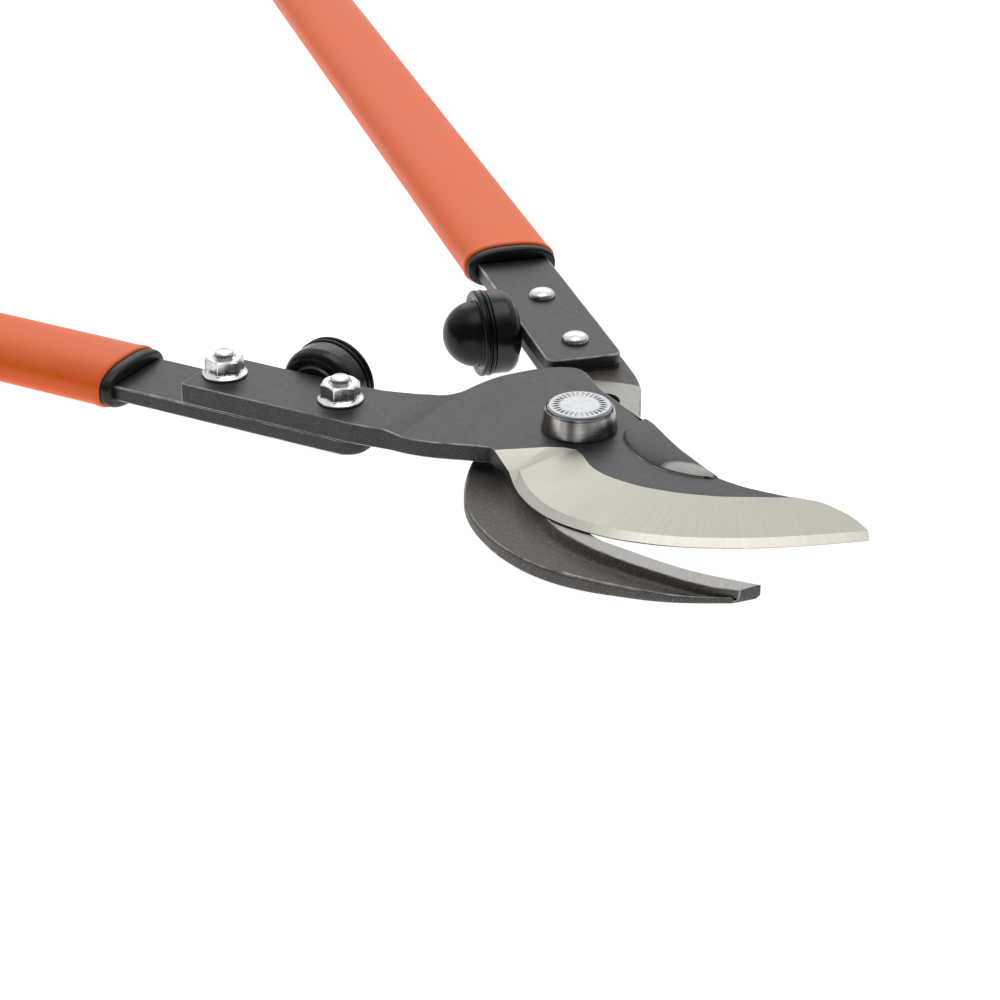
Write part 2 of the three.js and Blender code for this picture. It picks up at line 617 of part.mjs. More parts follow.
function bumperDome(handle) {
  const low = CUP_LENGTH + 0.2;
  const centre = BUMPER_LENGTH - DOME_R;
  const profile = [
    [0, CUP_FLOOR + GAP], [CUP_R - 3.4, CUP_FLOOR + GAP], [CUP_R - 3.4, low], [FLANGE_R - 0.5, low],
    [FLANGE_R, low + 0.5], [FLANGE_R, low + 1.3], [FLANGE_R - 0.9, low + 1.8], [FLANGE_R - 0.9, low + 2.4],
    [FLANGE_R, low + 2.9], [FLANGE_R, FLANGE_END - 0.5], [FLANGE_R - 0.6, FLANGE_END],
    [DOME_R + 1.6, FLANGE_END], [DOME_R + 0.3, FLANGE_END - 0.4],
  ];
  for (let i = 0; i <= 6; i += 1) {
    const a = (i / 6) * (Math.PI / 2);
    profile.push([DOME_R * Math.cos(a), centre + DOME_R * Math.sin(a)]);
  }
  const room = SCREW_HEAD_R + GAP;
  const end = CUP_FLOOR + 4;
  const recess = alongOut(handle, [[0, 0], [room, 0], [room, end], [0, end]], SCREW_RISE, 16);
  return cut(alongOut(handle, profile), recess);
}

function bumperScrew(handle) {
  const seat = CUP_FLOOR + SEAT;
  return alongOut(handle, [
    [0, -SCREW_REACH], [SCREW_R, -SCREW_REACH], [SCREW_R, seat], [SCREW_HEAD_R, seat],
    [SCREW_HEAD_R, seat + 2.8], [0, seat + 2.8],
  ], SCREW_RISE, 16);
}

// The clearance hole for the bumper screw, in the handle's frame, out to the given distance.
const screwHole = (handle, end = 1) => alongOut(handle, [
  [0, -SCREW_REACH - 1], [SCREW_R + GAP, -SCREW_REACH - 1], [SCREW_R + GAP, end], [0, end],
], SCREW_RISE, 16);

// Low round head and shank, head down under the bar or head up on top of it.
const HEAD_R = 5.5;
const DOME_HEIGHT = 3.3;
const BOLT_PROUD = 9.4; // length of thread beyond the clamped plates

function bladeBolt(handle, [u, boltOut]) {
  const head = [];
  for (let i = 0; i <= 4; i += 1) {
    const a = (i / 4) * (Math.PI / 2);
    head.push([HEAD_R * Math.sin(a), -DOME_HEIGHT * Math.cos(a) ** 0.8]);
  }
  const length = BAR_THICK + TANG_THICK + 3 * SEAT + GAP + BOLT_PROUD;
  const profile = [...head, [BOLT_R, 0], [BOLT_R, length - 1], [BOLT_R - 1, length], [0, length]];
  const v = handle.side * boltOut;
  if (handle === LEFT) {
    const seat = handle.barZ - SEAT;
    return turned(profile.map(([r, z]) => [r, seat + z]), u, v);
  }
  const seat = handle.barZ + BAR_THICK + SEAT;
  return turned(profile.map(([r, z]) => [r, seat - z]).reverse(), u, v);
}

const NUT_FLATS = 13;
const NUT_HEIGHT = 7.2;
const NUT_FLANGE_R = 8.7;

function flangeNut(handle, [u, boltOut]) {
  const flange = turned([
    [0, 0], [NUT_FLANGE_R, 0], [NUT_FLANGE_R, 0.9], [NUT_FLANGE_R - 0.6, 1.4], [6, 3], [0, 3],
  ]);
  const body = cut(
    join(flange, hexBlock(NUT_FLATS, 1, NUT_HEIGHT, false, true)),
    rod(BOLT_R + GAP, -1, NUT_HEIGHT + 1),
  );
  const v = handle.side * boltOut;
  if (handle === LEFT) return body.rotate([0, 0, 12]).translate([u, v, TANG_TOP + SEAT]);
  return body.rotate([180, 0, 0]).translate([u, v, COUNTER_Z - SEAT]);
}

// ---------------------------------------------------------------- assembly
const loppers = new THREE.Group();

function add(parent, name, solid, material) {
  const mesh = new THREE.Mesh(toGeometry(solid), material);
  mesh.name = name;
  parent.add(mesh);
}

add(loppers, 'cutting_blade', cuttingBlade(), MATERIALS.blackPaint);
add(loppers, 'counter_blade', counterBlade(), MATERIALS.forgedSteel);
add(loppers, 'pivot_bolt', pivotBolt(), MATERIALS.zinc);
add(loppers, 'pivot_collar', pivotCollar(), MATERIALS.brushedSteel);
add(loppers, 'pivot_cap', pivotCap(), MATERIALS.zinc);
add(loppers, 'pivot_bush', pivotBush(), MATERIALS.bronze);
add(loppers, 'pivot_spring_washer', springWasher(), MATERIALS.springSteel);
add(loppers, 'pivot_washer', pivotWasher(), MATERIALS.zinc);

for (const handle of [LEFT, RIGHT]) {
  const group = new THREE.Group();
  group.rotation.z = THREE.MathUtils.degToRad(handle.angle);
  const piece = (name, solid, material) => add(group, `${handle.name}_${name}`, solid, material);
  piece('handle_bar', handleBar(handle), MATERIALS.blackPaint);
  piece('handle_tube', handleTube(handle), MATERIALS.springSteel);
  piece('ferrule', ferrule(handle), MATERIALS.blackPlastic);
  piece('grip_sleeve', gripSleeve(handle), MATERIALS.orangeVinyl);
  piece('end_cap', endCap(handle), MATERIALS.blackPlastic);
  piece('bumper_cup', bumperCup(handle), MATERIALS.blackPlastic);
  piece('bumper_dome', bumperDome(handle), MATERIALS.rubber);
  piece('bumper_screw', bumperScrew(handle), MATERIALS.zinc);
  handle.bolts.forEach((place, i) => {
    piece(`blade_bolt_${i + 1}`, bladeBolt(handle, place), MATERIALS.zinc);
    piece(`flange_nut_${i + 1}`, flangeNut(handle, place), MATERIALS.zinc);
  });
  loppers.add(group);
}

export default loppers;
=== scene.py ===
"""Bypass loppers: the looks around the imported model. Metres, +Z up, the pivot axis through the origin.

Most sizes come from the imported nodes' own boxes. A handle's pieces are made in the handle's own frame:
u runs out along the handle, v runs away from the other handle, and z is up.
"""

import math

import bmesh
import bpy
from mathutils import Matrix, Vector


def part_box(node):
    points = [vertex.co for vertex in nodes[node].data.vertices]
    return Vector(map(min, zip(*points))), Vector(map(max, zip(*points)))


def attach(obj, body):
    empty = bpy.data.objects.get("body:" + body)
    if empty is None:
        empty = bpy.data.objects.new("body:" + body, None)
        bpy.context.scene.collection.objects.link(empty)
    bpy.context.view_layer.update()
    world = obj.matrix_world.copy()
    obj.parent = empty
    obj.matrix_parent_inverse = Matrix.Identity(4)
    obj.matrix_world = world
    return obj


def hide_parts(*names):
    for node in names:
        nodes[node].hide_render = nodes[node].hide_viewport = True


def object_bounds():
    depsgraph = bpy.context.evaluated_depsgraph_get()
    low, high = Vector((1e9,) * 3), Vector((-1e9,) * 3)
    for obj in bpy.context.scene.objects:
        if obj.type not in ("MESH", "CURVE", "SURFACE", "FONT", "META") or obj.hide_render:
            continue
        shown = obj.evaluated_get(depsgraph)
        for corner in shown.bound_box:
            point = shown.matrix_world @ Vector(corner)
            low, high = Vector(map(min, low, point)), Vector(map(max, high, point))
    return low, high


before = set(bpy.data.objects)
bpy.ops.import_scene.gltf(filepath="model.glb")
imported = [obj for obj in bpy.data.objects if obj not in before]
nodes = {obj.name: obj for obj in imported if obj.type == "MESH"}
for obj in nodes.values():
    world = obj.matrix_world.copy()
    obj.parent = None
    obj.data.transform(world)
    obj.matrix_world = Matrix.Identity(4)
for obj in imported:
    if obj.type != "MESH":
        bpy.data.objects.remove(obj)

cad_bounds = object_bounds()
scene = bpy.context.scene
MM = 0.001

HALF_OF = {
    "left": "blade_half",
    "right": "hook_half",
}


# ---------------------------------------------------------------- materials
class Surface:
    """A material under construction: one Principled shader and the pattern nodes that feed it."""

    def __init__(self, name, color, roughness, metallic=0.0, **values):
        self.material = bpy.data.materials.new(name)
        self.material.use_nodes = True
        self.material.diffuse_color = (*color, 1)
        self.tree = self.material.node_tree
        self.shader = self.tree.nodes["Principled BSDF"]
        self.shader.inputs["Base Color"].default_value = (*color, 1)
        self.shader.inputs["Roughness"].default_value = roughness
        self.shader.inputs["Metallic"].default_value = metallic
        for key, value in values.items():
            self.shader.inputs[key.replace("_", " ")].default_value = value
        self.place = self.node("TexCoord").outputs["Object"]
        self.height = None

    def node(self, kind, **inputs):
        made = self.tree.nodes.new("ShaderNode" + kind)
        for key, value in inputs.items():
            self.feed(made.inputs[key.replace("_", " ")], value)
        return made

    def feed(self, socket, value):
        if isinstance(value, bpy.types.NodeSocket):
            self.tree.links.new(value, socket)
        else:
            socket.default_value = value

    def math(self, operation, a, b=0.0):
        made = self.node("Math")
        made.operation = operation
        self.feed(made.inputs[0], a)
        self.feed(made.inputs[1], b)
        return made.outputs[0]

    def stretched(self, x, y, z):
        made = self.node("Mapping", Vector=self.place)
        made.inputs["Scale"].default_value = (x, y, z)
        return made.outputs["Vector"]

    def noise(self, size, detail=3.0, roughness=0.55, place=None):
        """Soft noise from 0 to 1 with features about that many metres across."""
        made = self.node("TexNoise", Vector=place or self.place, Scale=1 / size, Detail=detail,
                         Roughness=roughness)
        return made.outputs["Fac"]

    def between(self, value, low, high, to_low=0.0, to_high=1.0):
        """value taken from low..high to to_low..to_high, and held at the ends."""
        made = self.node("MapRange")
        made.clamp = True
        for socket, number in zip(("Value", "From Min", "From Max", "To Min", "To Max"),
                                  (value, low, high, to_low, to_high)):
            self.feed(made.inputs[socket], number)
        return made.outputs["Result"]

    def mix(self, share, a, b):
        made = self.node("Mix")
        made.data_type = "RGBA"
        self.feed(made.inputs["Factor"], share)
        self.feed(made.inputs["A"], a)
        self.feed(made.inputs["B"], b)
        return made.outputs["Result"]

    def blend(self, share, a, b):
        """A number between a and b."""
        made = self.node("Mix")
        made.data_type = "FLOAT"
        self.feed(made.inputs["Factor"], share)
        self.feed(made.inputs["A"], a)
        self.feed(made.inputs["B"], b)
        return made.outputs["Result"]

    def color(self, value):
        self.feed(self.shader.inputs["Base Color"], value)

    def rough(self, value):
        self.feed(self.shader.inputs["Roughness"], value)

    def metal(self, value):
        self.feed(self.shader.inputs["Metallic"], value)

    def bump(self, value, depth):
        """Adds relief of that depth in metres; calls stack up."""
        made = self.node("Bump", Height=value, Distance=depth, Strength=1.0)
        if self.height is not None:
            self.feed(made.inputs["Normal"], self.height)
        self.height = made.outputs["Normal"]
        self.feed(self.shader.inputs["Normal"], self.height)

    def turn_about(self, centre):
        """(angle in radians, distance) of the surface point about a vertical axis through centre."""
        shifted = self.node("VectorMath")
        shifted.operation = "SUBTRACT"
        self.feed(shifted.inputs[0], self.place)
        shifted.inputs[1].default_value = (centre[0], centre[1], 0)
        split = self.node("SeparateXYZ", Vector=shifted.outputs[0])
        x, y = split.outputs["X"], split.outputs["Y"]
        angle = self.math("ARCTAN2", y, x)
        squares = self.math("ADD", self.math("MULTIPLY", x, x), self.math("MULTIPLY", y, y))
        distance = self.math("SQRT", squares)
        return angle, distance

    def grooves_about(self, centre, pitch, radius):
        """Fine noise lines, radial from a vertical axis. pitch is their spacing at radius."""
        angle, along = self.turn_about(centre)
        across = self.math("MULTIPLY", angle, radius)
        flat = self.node("CombineXYZ", X=self.math("MULTIPLY", across, 1 / pitch),
                         Y=self.math("MULTIPLY", along, 0.03 / pitch)).outputs[0]
        return self.noise(1.0, 2.0, 0.6, flat)


def rgb(r, g, b):
    return (r, g, b, 1)


# Where grinding lines spread from, and the distance at which their spacing is given.
GRIND_CENTRE = (0.040, 0.035)
GRIND_RADIUS = 80 * MM
# The painted highlight on the boss's slope is centred at BOSS_END and runs along BOSS_RUN.
BOSS_END = (0.0535, 0.0048, 0.0279)
BOSS_RUN = Vector((0.92, 0.39, 0))  # the way the end of the boss runs


def add_paint_grain(s, worn_and_lit):
    """Satin black paint over a forging: slightly uneven, with fine grain. The edge copy is scuffed to
    metal in patches and lighter all along, a painted highlight; the plain copy has a painted highlight on
    the boss.
    """
    coarse = s.noise(9 * MM, 3)
    fine = s.noise(0.7 * MM, 2)
    dust_and_sheen = s.noise(2.2 * MM, 4, 0.7)
    facing = s.node("SeparateXYZ", Vector=s.node("NewGeometry").outputs["True Normal"]).outputs["Z"]
    upright = s.math("SUBTRACT", 1.0, s.math("ABSOLUTE", facing))
    paint = s.mix(coarse, rgb(0.007, 0.0075, 0.009), rgb(0.015, 0.016, 0.019))
    if worn_and_lit:
        wear_and_highlight = s.math("ADD", s.noise(9 * MM, 3), s.math("MULTIPLY", dust_and_sheen, 0.3))
        # Held at 0.15 or more: every edge is a little lighter all along, a painted highlight; higher
        # values are patches scuffed to metal.
        bare_and_highlight = s.between(wear_and_highlight, 0.42, 0.80, 0.15, 1.0)
        s.color(s.mix(bare_and_highlight, paint, rgb(0.44, 0.42, 0.39)))
        s.metal(s.math("MULTIPLY", bare_and_highlight, 0.75))
        s.rough(s.blend(bare_and_highlight, 0.34, 0.38))
    else:
        # Painted highlight: a lighter oval patch on the boss, standing in for light on its near slope.
        boss_highlight = painted_boss_highlight(s, BOSS_END, BOSS_RUN, 11 * MM, 5 * MM)
        on_sides = s.between(upright, 0.3, 0.8, 0.0, 0.55)
        specks = s.math("MULTIPLY", on_sides, s.between(s.noise(0.6 * MM, 2), 0.56, 0.70))
        paint = s.mix(specks, paint, rgb(0.13, 0.13, 0.135))
        # Colour: paint, side specks, then the painted highlight on the boss, its tone varied by noise.
        s.color(s.mix(boss_highlight, paint, s.mix(dust_and_sheen, rgb(0.34, 0.33, 0.30), rgb(0.62, 0.60, 0.55))))
        s.rough(s.between(dust_and_sheen, 0.3, 0.7, 0.36, 0.46))
    s.bump(coarse, 0.07 * MM)
    s.bump(s.blend(s.between(upright, 0.3, 0.8), s.math("MULTIPLY", fine, 0.15), fine), 0.09 * MM)
    return s.material


def painted_boss_highlight(s, spot, run, reach, width):
    """Share of painted highlight in an oval patch on what stands above the spot's height: a lighter colour
    standing in for light on the boss's slope.
    """
    shifted = s.node("VectorMath")
    shifted.operation = "SUBTRACT"
    s.feed(shifted.inputs[0], s.place)
    shifted.inputs[1].default_value = spot
    parts = []
    for axis in (run / reach, Vector((-run.y, run.x, 0)) / width):
        along = s.node("VectorMath")
        along.operation = "DOT_PRODUCT"
        s.feed(along.inputs[0], shifted.outputs[0])
        along.inputs[1].default_value = axis
        parts.append(s.math("POWER", along.outputs["Value"], 2))
    away = s.math("SQRT", s.math("ADD", *parts))
    height = s.node("SeparateXYZ", Vector=shifted.outputs[0]).outputs["Z"]
    return s.math("MULTIPLY", s.between(away, 0.75, 1.05, 0.9, 0.0), s.math("GREATER_THAN", height, 0.0))


def make_paint():
    return add_paint_grain(Surface("black_paint", (0.02, 0.02, 0.022), 0.38), worn_and_lit=False)


def make_worn_lit_edge():
    # Rounded edges: scuffed to metal in patches, with a painted highlight all along.
    return add_paint_grain(Surface("black_paint_edge", (0.03, 0.03, 0.032), 0.36), worn_and_lit=True)


def make_ground(name, centre, radius, color, roughness):
    """Ground steel with fine grinding lines that run radially from centre."""
    s = Surface(name, color, roughness, 1.0)
    lines = s.grooves_about(centre, 0.30 * MM, radius)
    broad = s.grooves_about(centre, 1.6 * MM, radius)
    cloud = s.noise(14 * MM, 2)
    dark = tuple(c * 0.86 for c in color)
    tone = s.math("ADD", s.math("MULTIPLY", lines, 0.55), s.math("MULTIPLY", broad, 0.45))
    s.color(s.mix(s.between(tone, 0.3, 0.7), (*dark, 1), (*color, 1)))
    haze = s.math("ADD", lines, s.math("MULTIPLY", cloud, 0.6))
    s.rough(s.between(haze, 0.4, 1.2, roughness - 0.06, roughness + 0.08))
    s.bump(lines, 0.010 * MM)
    s.bump(broad, 0.02 * MM)
    return s.material


def make_forging(ledge_z, pad_radius, hook_x):
    """Phosphated forging. Its top plane is ground bright near the pivot and all along the hook's ledge."""
    s = Surface("forged_steel", (0.07, 0.064, 0.057), 0.5)
    grain = s.noise(0.55 * MM, 3, 0.65)
    patch = s.noise(6 * MM, 4, 0.6)
    spark = s.between(s.noise(0.45 * MM, 2, 0.6), 0.54, 0.70)
    dull = s.mix(patch, rgb(0.044, 0.038, 0.032), rgb(0.088, 0.078, 0.068))
    dull = s.mix(s.math("MULTIPLY", spark, 0.75), dull, rgb(0.26, 0.24, 0.21))
    split = s.node("SeparateXYZ", Vector=s.place)
    facing = s.node("SeparateXYZ", Vector=s.node("NewGeometry").outputs["True Normal"]).outputs["Z"]
    flat = s.math("MULTIPLY", s.math("GREATER_THAN", facing, 0.995),
                  s.math("GREATER_THAN", split.outputs["Z"], ledge_z - 0.05 * MM))
    _, distance = s.turn_about((0, 0))
    near = s.math("MAXIMUM", s.between(distance, pad_radius - 0.15 * MM, pad_radius + 0.15 * MM, 1.0, 0.0),
                  s.math("GREATER_THAN", split.outputs["X"], hook_x))
    bright = s.math("MULTIPLY", flat, near)
    lines = s.grooves_about(GRIND_CENTRE, 0.35 * MM, GRIND_RADIUS)
    steel = s.mix(s.between(lines, 0.3, 0.7), rgb(0.22, 0.214, 0.198), rgb(0.31, 0.302, 0.28))
    s.color(s.mix(bright, dull, steel))
    s.metal(s.blend(bright, 0.35, 1.0))
    s.rough(s.blend(bright, s.between(patch, 0.3, 0.7, 0.42, 0.54), 0.36))
    relief = s.math("ADD", s.math("MULTIPLY", grain, s.math("SUBTRACT", 1.0, bright)),
                    s.math("MULTIPLY", lines, s.math("MULTIPLY", bright, 0.2)))
    s.bump(relief, 0.12 * MM)
    s.bump(s.math("MULTIPLY", patch, s.math("SUBTRACT", 1.0, bright)), 0.15 * MM)
    return s.material


def make_forging_edge():
    s = Surface("forged_steel_edge", (0.2, 0.185, 0.17), 0.4, 0.7)
    # Held at 0.15 or more: the hook's rounded edges are lighter all along, a painted highlight; higher
    # values are patches scuffed to metal.
    rubbed_and_lit = s.between(s.noise(7 * MM, 3, 0.6), 0.30, 0.62, 0.15, 1.0)
    s.color(s.mix(rubbed_and_lit, rgb(0.065, 0.058, 0.050), rgb(0.34, 0.32, 0.29)))
    s.rough(s.between(rubbed_and_lit, 0, 1, 0.5, 0.34))
    s.bump(s.noise(0.6 * MM, 3), 0.02 * MM)
    return s.material


def make_zinc(name, dark, light):
    s = Surface(name, light, 0.18, 1.0)
    cloud = s.noise(3 * MM, 4, 0.65)
    s.color(s.mix(cloud, rgb(*dark), rgb(*light)))
    s.rough(s.between(s.noise(1.2 * MM, 3), 0.3, 0.7, 0.14, 0.24))
    s.bump(s.noise(1.6 * MM, 2), 0.004 * MM)
    return s.material


def make_turned_steel():
    """Fine turning marks round the pivot axis, with painted light and dark reflection bands round it."""
    s = Surface("turned_steel", (0.50, 0.48, 0.45), 0.26, 1.0, Anisotropic=0.75)
    tangent = s.node("Tangent")
    tangent.direction_type = "RADIAL"
    tangent.axis = "Z"
    s.feed(s.shader.inputs["Tangent"], tangent.outputs[0])
    marks = s.noise(1.0, 3, 0.7, s.stretched(0.0, 0.0, 1 / (0.22 * MM)))
    angle, _ = s.turn_about((0, 0))
    round_axis = s.node("CombineXYZ", X=s.math("MULTIPLY", angle, 1.7)).outputs[0]
    # Bands round the axis: the dark colour and the bright one alternate as painted reflection, from near
    # black to bright.
    reflection_bands = s.between(s.noise(1.0, 1, 0.5, round_axis), 0.40, 0.60)
    dull = s.mix(marks, rgb(0.075, 0.070, 0.064), rgb(0.14, 0.132, 0.122))
    s.color(s.mix(reflection_bands, dull, s.mix(marks, rgb(0.42, 0.40, 0.375), rgb(0.62, 0.60, 0.57))))
    s.rough(s.between(marks, 0.3, 0.7, 0.20, 0.30))
    s.bump(marks, 0.02 * MM)
    return s.material


def make_gloss_plastic():
    s = Surface("bumper_plastic", (0.005, 0.005, 0.005), 0.2, Specular_IOR_Level=0.4)
    smear = s.noise(5 * MM, 4, 0.65)
    s.color(s.mix(smear, rgb(0.003, 0.003, 0.003), rgb(0.008, 0.008, 0.008)))
    s.rough(s.between(smear, 0.35, 0.65, 0.16, 0.30))
    s.bump(s.noise(2.4 * MM, 3), 0.05 * MM)
    return s.material


def make_rubber():
    s = Surface("bumper_rubber", (0.003, 0.003, 0.003), 0.3, Specular_IOR_Level=0.22)
    bloom = s.noise(4 * MM, 4, 0.6)
    s.color(s.mix(bloom, rgb(0.003, 0.003, 0.003), rgb(0.009, 0.009, 0.009)))
    s.rough(s.between(bloom, 0.3, 0.7, 0.18, 0.30))
    s.bump(s.noise(0.5 * MM, 3), 0.02 * MM)
    s.bump(bloom, 0.05 * MM)
    return s.material


def make_satin_plastic():
    s = Surface("black_plastic", (0.006, 0.006, 0.006), 0.3, Specular_IOR_Level=0.35)
    cloud = s.noise(6 * MM, 3)
    s.color(s.mix(cloud, rgb(0.004, 0.004, 0.004), rgb(0.010, 0.010, 0.009)))
    s.rough(s.between(cloud, 0.3, 0.7, 0.28, 0.42))
    s.bump(s.noise(0.45 * MM, 2), 0.012 * MM)
    s.bump(cloud, 0.06 * MM)
    return s.material


def make_vinyl():
    s = Surface("orange_vinyl", (0.83, 0.17, 0.045), 0.42, Specular_IOR_Level=0.3)
    cloud = s.noise(30 * MM, 3)
    speck = s.noise(0.9 * MM, 3, 0.6)
    tone = s.math("ADD", s.math("MULTIPLY", cloud, 0.7), s.math("MULTIPLY", speck, 0.3))
    s.color(s.mix(s.between(tone, 0.35, 0.65), rgb(0.78, 0.105, 0.008), rgb(0.86, 0.135, 0.014)))
    s.rough(s.between(cloud, 0.3, 0.7, 0.36, 0.48))
    s.bump(speck, 0.015 * MM)
    s.bump(cloud, 0.25 * MM)
    return s.material


def make_dark_steel():
    s = Surface("dark_steel", (0.10, 0.10, 0.105), 0.4, 0.8)
    marks = s.noise(1.5 * MM, 3)
    s.color(s.mix(marks, rgb(0.07, 0.07, 0.074), rgb(0.15, 0.15, 0.155)))
    s.rough(s.between(marks, 0.3, 0.7, 0.32, 0.48))
    s.bump(marks, 0.02 * MM)
    return s.material


def make_bronze():
    s = Surface("bronze", (0.45, 0.27, 0.12), 0.4, 1.0)
    pores = s.noise(0.5 * MM, 3)
    s.color(s.mix(pores, rgb(0.36, 0.21, 0.09), rgb(0.52, 0.32, 0.15)))
    s.rough(s.between(pores, 0.3, 0.7, 0.34, 0.5))
    s.bump(pores, 0.02 * MM)
    return s.material


# ---------------------------------------------------------------- mesh helpers
def centre(node):
    low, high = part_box(node)
    return (low + high) / 2


def mark_crisp(mesh, indices):
    """A sharp edge wherever one of these materials meets another."""
    beside = {}
    for polygon in mesh.polygons:
        for key in polygon.edge_keys:
            beside.setdefault(key, set()).add(polygon.material_index)
    for edge in mesh.edges:
        if len(beside[edge.key]) > 1 and beside[edge.key] & indices:
            edge.use_edge_sharp = True


def place(bm, name, body, materials, replaced, slot, smooth=32, weighted=False, crisp=()):
    """Makes the mesh an object that rides on a body in place of CAD nodes."""
    bmesh.ops.recalc_face_normals(bm, faces=bm.faces)
    mesh = bpy.data.meshes.new(name)
    bm.to_mesh(mesh)
    bm.free()
    for material in materials:
        mesh.materials.append(material)
    mesh.shade_smooth()
    mesh.set_sharp_from_angle(angle=math.radians(smooth))
    mark_crisp(mesh, set(crisp))
    piece = bpy.data.objects.new(name, mesh)
    scene.collection.objects.link(piece)
    if weighted:
        modifier = piece.modifiers.new("normals", "WEIGHTED_NORMAL")
        modifier.keep_sharp = True
    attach(piece, body)
    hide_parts(*replaced)
    return piece


def add_loop(bm, points):
    return [bm.verts.new(p) for p in points]


def skin(bm, loops, closed_start=True, closed_end=True):
    """Quads between loops of equal length, with a face over either end."""
    rings = [add_loop(bm, points) for points in loops]
    count = len(rings[0])
    for near, far in zip(rings, rings[1:]):
        for i in range(count):
            j = (i + 1) % count
            bm.faces.new((near[i], near[j], far[j], far[i]))
    if closed_start:
        bm.faces.new(rings[0][::-1])
    if closed_end:
        bm.faces.new(rings[-1])


def filleted(profile, steps=4):
    """A profile of (radius, height, corner) with each corner rounded by that much."""
    made = []
    for i, (r, h, corner) in enumerate(profile):
        here = Vector((r, h))
        if corner <= 0 or i in (0, len(profile) - 1):
            made.append(here)
            continue
        before = Vector(profile[i - 1][:2]) - here
        after = Vector(profile[i + 1][:2]) - here
        reach = min(corner, before.length * 0.48, after.length * 0.48)
        start = here + before.normalized() * reach
        end = here + after.normalized() * reach
        for k in range(steps + 1):
            t = k / steps
            made.append(start.lerp(here, t).lerp(here.lerp(end, t), t))
    return made


def turned(bm, profile, to_world, segments):
    """Turns a profile of (radius, height) about a local axis, from axis to axis or from bore to bore."""
    loops = []
    for r, h in profile:
        radius = max(r, 0.01 * MM)
        loops.append([to_world @ Vector((radius * math.cos(a), radius * math.sin(a), h))
                      for a in (2 * math.pi * i / segments for i in range(segments))])
    skin(bm, loops)


def millimetres(profile):
    return [tuple(value * MM for value in point) for point in profile]


def oval(width, height, count=96, power=2.5):
    """Points (across, up) round a slightly squared oval; a high power gives a rounded rectangle."""
    made = []
    for i in range(count):
        a = 2 * math.pi * i / count
        c, s = math.cos(a), math.sin(a)
        made.append((width / 2 * math.copysign(abs(c) ** (2 / power), c),
                     height / 2 * math.copysign(abs(s) ** (2 / power), s)))
    return made


def sharp_edges(bm, degrees):
    return [e for e in bm.edges if len(e.link_faces) == 2 and e.calc_face_angle(0) > math.radians(degrees)]


def round_edges(bm, edges, width, index, segments=2):
    bmesh.ops.bevel(bm, geom=edges, offset=width, offset_type="OFFSET", segments=segments, profile=0.5,
                    affect="EDGES", clamp_overlap=False, material=index, loop_slide=True)


def copy_of(node):
    """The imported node's own mesh as one clean surface of flat faces."""
    bm = bmesh.new()
    bm.from_mesh(nodes[node].data)
    bmesh.ops.remove_doubles(bm, verts=bm.verts, dist=0.001 * MM)
    bmesh.ops.dissolve_limit(bm, angle_limit=math.radians(0.3), use_dissolve_boundaries=False,
                             verts=bm.verts, edges=bm.edges, delimit=set())
    return bm


class Handle:
    """The handle's own frame and the boxes of its nodes in that frame."""

    def __init__(self, side):
        self.side = side
        self.body = HALF_OF[side]
        bar = nodes[f"{side}_handle_bar"].data
        out = max((p for p in bar.polygons if abs(p.normal.z) < 0.01), key=lambda p: p.area).normal.copy()
        if out.dot(centre(f"{side}_bumper_cup") - centre(f"{side}_bumper_dome")) < 0:
            out.negate()
        along = Vector((-out.y, out.x, 0))
        if along.dot(centre(f"{side}_handle_tube")) < 0:
            along.negate()
        self.to_world = Matrix((along, out, Vector((0, 0, 1)))).transposed().to_4x4()

    def box(self, part):
        back = self.to_world.inverted()
        points = [back @ v.co for v in nodes[f"{self.side}_{part}"].data.vertices]
        low = Vector([min(p[k] for p in points) for k in range(3)])
        high = Vector([max(p[k] for p in points) for k in range(3)])
        return low, high

    def put(self, bm, part, materials, slot, **options):
        bm.transform(self.to_world)
        name = f"{self.side}_{part}"
        return place(bm, f"{name}_skin", self.body, materials, [name], slot, **options)


# ---------------------------------------------------------------- blades
EDGE_ROUND = 0.45 * MM
KEEN_RISE = 3 * MM  # the keen edge lies within this height of the blade's underside
HEEL_X = -12 * MM  # all grinding lies beyond this


def make_cutting_blade(paint, worn_and_lit, ground, keen):
    """The forged blade. Painted all over but for the ground bevel and the keen edge."""
    bm = copy_of("cutting_blade")
    low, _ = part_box("cutting_blade")
    collar_low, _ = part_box("pivot_collar")
    top = collar_low.z
    ground_faces = set()
    for face in bm.faces:
        middle = face.calc_center_median()
        is_low = max(v.co.z for v in face.verts) < low.z + KEEN_RISE
        if 0.6 < face.normal.z < 0.9995 and middle.z < top and middle.x > HEEL_X:
            is_keen = face.normal.z < 0.93 and is_low
            face.material_index = 3 if is_keen else 2
            ground_faces.add(face)
        elif abs(face.normal.z) < 0.3 and middle.x > HEEL_X and is_low:
            face.material_index = 3
            ground_faces.add(face)
    edges = []
    for edge in sharp_edges(bm, 28):
        if edge.is_convex and not any(face in ground_faces for face in edge.link_faces):
            edges.append(edge)
    round_edges(bm, edges, EDGE_ROUND, 1)
    return place(bm, "cutting_blade_skin", "blade_half", [paint, worn_and_lit, ground, keen], ["cutting_blade"],
                 "black_paint", smooth=18, weighted=True, crisp=(2, 3))


def make_counter_blade(forging, edge_material):
    bm = copy_of("counter_blade")
    round_edges(bm, [edge for edge in sharp_edges(bm, 35) if edge.is_convex], 0.35 * MM, 1)
    return place(bm, "counter_blade_skin", "hook_half", [forging, edge_material], ["counter_blade"],
                 "forged_steel", smooth=28, weighted=True)


